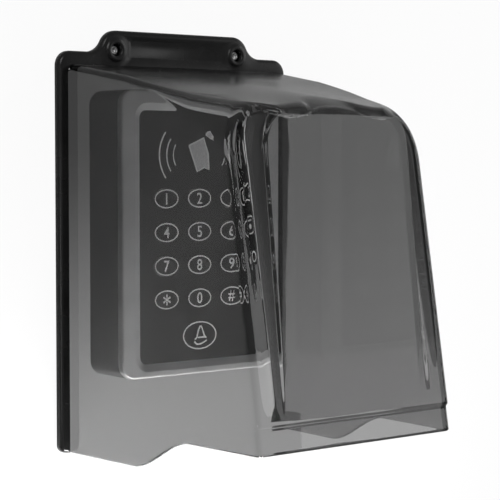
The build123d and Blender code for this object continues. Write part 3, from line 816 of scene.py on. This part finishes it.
def lathe_mesh(profile, x, z):
    """Solid of revolution about an axis square to the wall, from pairs of radius and depth."""
    vertices = []
    faces = []
    previous = None
    for radius, depth in profile:
        if radius == 0.0:
            current = [len(vertices)] * HOLE_STEPS
            vertices.append((x, -depth * MM, z))
        else:
            current = add_ring(vertices, circle_points(x, z, radius * MM), depth * MM)
        if previous:
            for i in range(HOLE_STEPS):
                j = (i + 1) % HOLE_STEPS
                corners = [previous[i], previous[j], current[j], current[i]]
                faces.append(tuple(dict.fromkeys(corners)))
        previous = current
    return vertices, faces


def build_frame():
    """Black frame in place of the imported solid, with a screw in each of its two holes."""
    vertices, faces = frame_mesh()
    shape = build_mesh("frame_bead", vertices, faces, "black_frame")
    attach(shape, "root")
    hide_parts("mounting_frame")
    for side, name in ((-1, "tab_screw_left"), (1, "tab_screw_right")):
        vertices, faces = lathe_mesh(SCREW_PROFILE, side * HOLE_HALF_PITCH, 0.0)
        screw = build_mesh(name, vertices, faces, "screw_steel")
        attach(screw, "root")


def key_places():
    """Name, legend and place of each of the twelve keys."""
    names = ["1", "2", "3", "4", "5", "6", "7", "8", "9", "star", "0", "hash"]
    legends = ["1", "2", "3", "4", "5", "6", "7", "8", "9", "*", "0", "#"]
    for index, (name, legend) in enumerate(zip(names, legends)):
        x = FACE_CENTER_X + (index % KEY_COLUMNS - 1) * KEY_PITCH_X
        z = KEY_FIRST_ROW - (index // KEY_COLUMNS) * KEY_PITCH_Z
        yield f"key_{name}", legend, x, z


def add_outline(name, width, height, x, z, body):
    """Thin oval line of print, just inside the edge of a key of a width and height."""
    width = width - OUTLINE_INSET
    height = height - OUTLINE_INSET
    vertices = []
    faces = []
    for i in range(OVAL_STEPS):
        angle = 2 * math.pi * i / OVAL_STEPS
        c = math.cos(angle)
        s = math.sin(angle)
        for line in (LINE_WIDTH, 0.0):
            for level in (0.0, PRINT_THICKNESS):
                place_x = x + (width / 2 - line) * c
                vertices.append((place_x, -KEY_DEPTH - level, z + (height / 2 - line) * s))
    for i in range(OVAL_STEPS):
        a = 4 * i
        b = 4 * ((i + 1) % OVAL_STEPS)
        faces.append((a + 1, a + 3, b + 3, b + 1))
        faces.append((a, b, b + 2, a + 2))
        faces.append((a, a + 1, b + 1, b))
        faces.append((a + 2, b + 2, b + 3, a + 3))
    ring = build_mesh(name, vertices, faces, "key_black", smooth=False)
    ring.data.materials[0] = MATERIALS["key_print"]
    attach(ring, body)


def add_legend(name, text, x, z, body):
    """Raised print of a legend, scaled to its height and centred on its key."""
    curve = bpy.data.curves.new(name, "FONT")
    curve.body = text
    curve.size = 1.0
    curve.offset = DIGIT_BOLD
    source = bpy.data.objects.new(name + "_source", curve)
    bpy.context.scene.collection.objects.link(source)
    bpy.context.view_layer.update()
    mesh = bpy.data.meshes.new_from_object(source)
    bpy.data.objects.remove(source)
    points = np.array([v.co for v in mesh.vertices])
    low = points.min(0)
    high = points.max(0)
    scale = DIGIT_HEIGHT / (high[1] - low[1])
    middle = (low + high) / 2
    shape = bmesh.new()
    shape.from_mesh(mesh)
    for v in shape.verts:
        v.co = Vector((
            x + (v.co.x - middle[0]) * scale * DIGIT_NARROW,
            -KEY_DEPTH,
            z + (v.co.y - middle[1]) * scale,
        ))
    solid = bmesh.ops.extrude_face_region(shape, geom=list(shape.faces))
    moved = [g for g in solid["geom"] if isinstance(g, bmesh.types.BMVert)]
    bmesh.ops.translate(shape, verts=moved, vec=(0, -PRINT_THICKNESS, 0))
    shape.to_mesh(mesh)
    shape.free()
    piece = bpy.data.objects.new(name, mesh)
    bpy.context.scene.collection.objects.link(piece)
    mesh.materials.clear()
    mesh.materials.append(MATERIALS["key_print"])
    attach(piece, body)


def add_stroke(name, points, width, depth, body):
    """Line of print along a row of points, with square ends."""
    vertices = []
    faces = []
    count = len(points)
    for i in range(count):
        before = Vector(points[max(i - 1, 0)])
        after = Vector(points[min(i + 1, count - 1)])
        way = (after - before).normalized()
        x, z = points[i]
        for side in (-0.5, 0.5):
            for level in (0.0, PRINT_THICKNESS):
                place_x = x - way.y * width * side
                vertices.append((place_x, -depth - level, z + way.x * width * side))
    for i in range(count - 1):
        a = 4 * i
        b = a + 4
        faces.append((a + 1, a + 3, b + 3, b + 1))
        faces.append((a, b, b + 2, a + 2))
        faces.append((a, a + 1, b + 1, b))
        faces.append((a + 2, b + 2, b + 3, a + 3))
    last = 4 * (count - 1)
    faces += [(0, 2, 3, 1), (last, last + 1, last + 3, last + 2)]
    stroke = build_mesh(name, vertices, faces, "key_black", smooth=False)
    stroke.data.materials[0] = MATERIALS["key_print"]
    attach(stroke, body)


def smooth_line(points):
    """Points of a smooth curve through the given ones."""
    padded = [points[0]] + list(points) + [points[-1]]
    line = []
    for i in range(1, len(padded) - 2):
        p0, p1, p2, p3 = (Vector(p) for p in padded[i - 1:i + 3])
        for step in range(CURVE_STEPS):
            t = step / CURVE_STEPS
            line.append(tuple(
                0.5 * (2 * p1 + (p2 - p0) * t + (2 * p0 - 5 * p1 + 4 * p2 - p3) * t ** 2
                       + (3 * p1 - p0 - 3 * p2 + p3) * t ** 3)
            ))
    line.append(tuple(points[-1]))
    return line


def build_reader_print():
    """Card between two sets of waves, printed on the face above the keys."""
    for side in (-1, 1):
        for index, radius in enumerate(WAVE_RADII):
            spread_angle = math.radians(WAVE_ANGLE - WAVE_ANGLE_STEP * index)
            points = []
            for i in range(WAVE_STEPS + 1):
                angle = spread_angle * (2 * i / WAVE_STEPS - 1)
                x = FACE_CENTER_X + side * (WAVE_CENTER + radius * MM * math.cos(angle))
                points.append((x, READER_ROW + radius * MM * math.sin(angle)))
            width = (WAVE_WIDTH - WAVE_WIDTH_STEP * index) * MM
            hand = "left" if side < 0 else "right"
            add_stroke(f"wave_{hand}_{index}", points, width, FACE_DEPTH, "root")
    corners = [(FACE_CENTER_X + x * MM, READER_ROW + z * MM) for x, z in CARD_CORNERS]
    vertices = [(x, -FACE_DEPTH, z) for x, z in corners]
    vertices += [(x, -FACE_DEPTH - PRINT_THICKNESS, z) for x, z in corners]
    count = len(corners)
    faces = [tuple(range(count)), tuple(range(count, 2 * count))]
    faces += ring_faces(list(range(count)), list(range(count, 2 * count)))
    card = build_mesh("card_field", vertices, faces, "key_black", smooth=False)
    card.data.materials[0] = MATERIALS["card_print"]
    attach(card, "root")
    rim = corners + corners[:1]
    add_stroke("card_rim", rim, CARD_RIM * MM, FACE_DEPTH + PRINT_THICKNESS, "root")


def build_bell_print():
    """Bell inside the bell key's oval."""
    strokes = (("body", BELL_BODY, True), ("foot", BELL_FOOT, True), ("bar", BELL_BAR, False))
    for name, points, curved in strokes:
        placed = [(FACE_CENTER_X + x * MM, BELL_ROW + z * MM) for x, z in points]
        if curved:
            placed = smooth_line(placed)
        add_stroke("bell_" + name, placed, BELL_LINE, KEY_DEPTH, "bell_key")


def build_print():
    """Outlines and legends of the keys."""
    for name, legend, x, z in key_places():
        add_outline(name + "_outline", KEY_WIDTH, KEY_HEIGHT, x, z, name)
        add_legend(name + "_legend", legend, x, z, name)
    add_outline("bell_outline", BELL_WIDTH, BELL_HEIGHT, FACE_CENTER_X, BELL_ROW, "bell_key")


def white_to_camera(tree, output, shaded):
    """Mixes a shaded stage surface with white for the camera, and for rays through plastic with white
    that carries painted shade, darker towards the top.
    """
    path = add_node(tree, "ShaderNodeLightPath")
    place = add_node(tree, "ShaderNodeTexCoord")
    split = add_node(tree, "ShaderNodeSeparateXYZ")
    tree.links.new(place.outputs["Object"], split.inputs["Vector"])
    # Painted shade: for rays through the plastic the wall is darker towards the top, in place of the
    # shade that the hood casts on it
    painted_shade = add_node(tree, "ShaderNodeMapRange", interpolation_type="SMOOTHSTEP")
    painted_shade.inputs["From Min"].default_value = PAINTED_SHADE_FOOT
    painted_shade.inputs["From Max"].default_value = PAINTED_SHADE_TOP
    painted_shade.inputs["To Min"].default_value = 1.0
    painted_shade.inputs["To Max"].default_value = PAINTED_SHADE_LOW
    tree.links.new(split.outputs["Z"], painted_shade.inputs["Value"])
    level = add_node(tree, "ShaderNodeMix", data_type="FLOAT")
    tree.links.new(path.outputs["Is Transmission Ray"], level.inputs["Factor"])
    level.inputs[2].default_value = 1.0
    tree.links.new(painted_shade.outputs["Result"], level.inputs[3])
    white = add_node(tree, "ShaderNodeEmission")
    tree.links.new(level.outputs[0], white.inputs["Strength"])
    seen = add_node(tree, "ShaderNodeMath", operation="MAXIMUM")
    tree.links.new(path.outputs["Is Camera Ray"], seen.inputs[0])
    tree.links.new(path.outputs["Is Transmission Ray"], seen.inputs[1])
    factor = add_node(tree, "ShaderNodeMath", operation="MULTIPLY")
    factor.inputs[1].default_value = STAGE_WHITE
    tree.links.new(seen.outputs["Value"], factor.inputs[0])
    mix = add_node(tree, "ShaderNodeMixShader")
    tree.links.new(factor.outputs["Value"], mix.inputs["Fac"])
    tree.links.new(shaded, mix.inputs[1])
    tree.links.new(white.outputs["Emission"], mix.inputs[2])
    back = add_node(tree, "ShaderNodeNewGeometry")
    clear = add_node(tree, "ShaderNodeBsdfTransparent")
    sided = add_node(tree, "ShaderNodeMixShader")
    tree.links.new(back.outputs["Backfacing"], sided.inputs["Fac"])
    tree.links.new(mix.outputs["Shader"], sided.inputs[1])
    tree.links.new(clear.outputs["BSDF"], sided.inputs[2])
    tree.links.new(sided.outputs["Shader"], output.inputs["Surface"])


def stage_plane(name, corners):
    """Matt plane of the stage, seen from its front only."""
    mesh = bpy.data.meshes.new(name)
    mesh.from_pydata(corners, [], [(0, 1, 2, 3)])
    plane = bpy.data.objects.new(name, mesh)
    bpy.context.scene.collection.objects.link(plane)
    material = bpy.data.materials.new(name)
    material.use_nodes = True
    tree = material.node_tree
    tree.nodes.clear()
    output = add_node(tree, "ShaderNodeOutputMaterial")
    matt = add_node(tree, "ShaderNodeBsdfDiffuse")
    paper = noise(tree, PAPER_SCALE)
    pale, dull = (
        tint(tree, paper.outputs["Fac"], grey(level - PAPER_SPREAD), grey(level))
        for level in (STAGE_LEVEL, GLOSS_LEVEL)
    )
    path = add_node(tree, "ShaderNodeLightPath")
    either = add_node(tree, "ShaderNodeMix", data_type="RGBA")
    tree.links.new(path.outputs["Is Glossy Ray"], either.inputs["Factor"])
    tree.links.new(pale, either.inputs[6])
    tree.links.new(dull, either.inputs[7])
    tree.links.new(either.outputs[2], matt.inputs["Color"])
    white_to_camera(tree, output, matt.outputs["BSDF"])
    mesh.materials.append(material)
    return plane


def build_stage():
    """Wall behind the part and floor below it."""
    half = STAGE_SIZE / 2
    left = (-half, WALL_DEPTH, FLOOR_HEIGHT)
    right = (half, WALL_DEPTH, FLOOR_HEIGHT)
    wall = stage_plane("stage_wall", [left, right, (half, WALL_DEPTH, half), (-half, WALL_DEPTH, half)])
    wall.visible_shadow = False
    wall.visible_diffuse = False
    near_left = (-half, -STAGE_SIZE, FLOOR_HEIGHT)
    near_right = (half, -STAGE_SIZE, FLOOR_HEIGHT)
    floor = stage_plane("stage_floor", [near_left, near_right, right, left])
    floor.visible_shadow = False


def add_lamp(name, place, target, width, height, power, roll=0.0):
    """Rectangular softbox that only the object's surfaces see, rolled about its aim in degrees."""
    data = bpy.data.lights.new(name, "AREA")
    data.shape = "RECTANGLE"
    data.size = width
    data.size_y = height
    data.energy = power * LAMP_SCALE
    lamp = bpy.data.objects.new(name, data)
    bpy.context.scene.collection.objects.link(lamp)
    lamp.location = place
    aim = Vector(target) - Vector(place)
    turn = Quaternion((0, 0, 1), math.radians(roll))
    lamp.rotation_euler = (aim.to_track_quat("-Z", "Y") @ turn).to_euler()
    lamp.visible_camera = False
    lamp.visible_transmission = False


def build_world():
    """Even soft light, white where the camera sees it."""
    world = bpy.data.worlds.new("studio")
    bpy.context.scene.world = world
    world.use_nodes = True
    tree = world.node_tree
    tree.nodes.clear()
    output = add_node(tree, "ShaderNodeOutputWorld")
    soft = add_node(tree, "ShaderNodeBackground")
    soft.inputs["Color"].default_value = (WORLD_COLOUR, WORLD_COLOUR, WORLD_COLOUR, 1)
    white = add_node(tree, "ShaderNodeBackground")
    path = add_node(tree, "ShaderNodeLightPath")
    either = add_node(tree, "ShaderNodeMath", operation="MAXIMUM")
    tree.links.new(path.outputs["Is Camera Ray"], either.inputs[0])
    tree.links.new(path.outputs["Is Transmission Ray"], either.inputs[1])
    mix = add_node(tree, "ShaderNodeMixShader")
    tree.links.new(either.outputs["Value"], mix.inputs["Fac"])
    tree.links.new(soft.outputs["Background"], mix.inputs[1])
    tree.links.new(white.outputs["Background"], mix.inputs[2])
    tree.links.new(mix.outputs["Shader"], output.inputs["Surface"])


def build_lights():
    """World and lamps."""
    build_world()
    add_lamp("key_lamp", *KEY_LAMP)
    add_lamp("fill_lamp", *FILL_LAMP)
    side = math.radians(FRONT_LAMP_SIDE)
    rise = math.radians(FRONT_LAMP_RISE)
    level = FRONT_LAMP_DISTANCE * math.cos(rise)
    far = (level * math.sin(side), -level * math.cos(side), FRONT_LAMP_DISTANCE * math.sin(rise))
    add_lamp("front_lamp", far, *FRONT_LAMP, roll=-FRONT_LAMP_ROLL)
    add_lamp("low_lamp", *LOW_LAMP)
    add_lamp("foot_lamp", *FOOT_LAMP)


def build_camera():
    """Camera at the photograph's viewing angle."""
    data = bpy.data.cameras.new("camera")
    data.lens = CAMERA_LENS
    data.sensor_width = CAMERA_SENSOR
    data.clip_start = CAMERA_NEAR
    camera = bpy.data.objects.new("camera", data)
    bpy.context.scene.collection.objects.link(camera)
    camera.location = CAMERA_PLACE
    camera.rotation_euler = (math.radians(90 - CAMERA_PITCH), 0, math.radians(CAMERA_YAW))
    bpy.context.scene.camera = camera


paint_nodes()
build_hood()
build_frame()
build_print()
build_reader_print()
build_bell_print()
build_stage()
build_lights()
build_camera()
bpy.context.scene.view_settings.view_transform = "Standard"

bpy.context.view_layer.update()
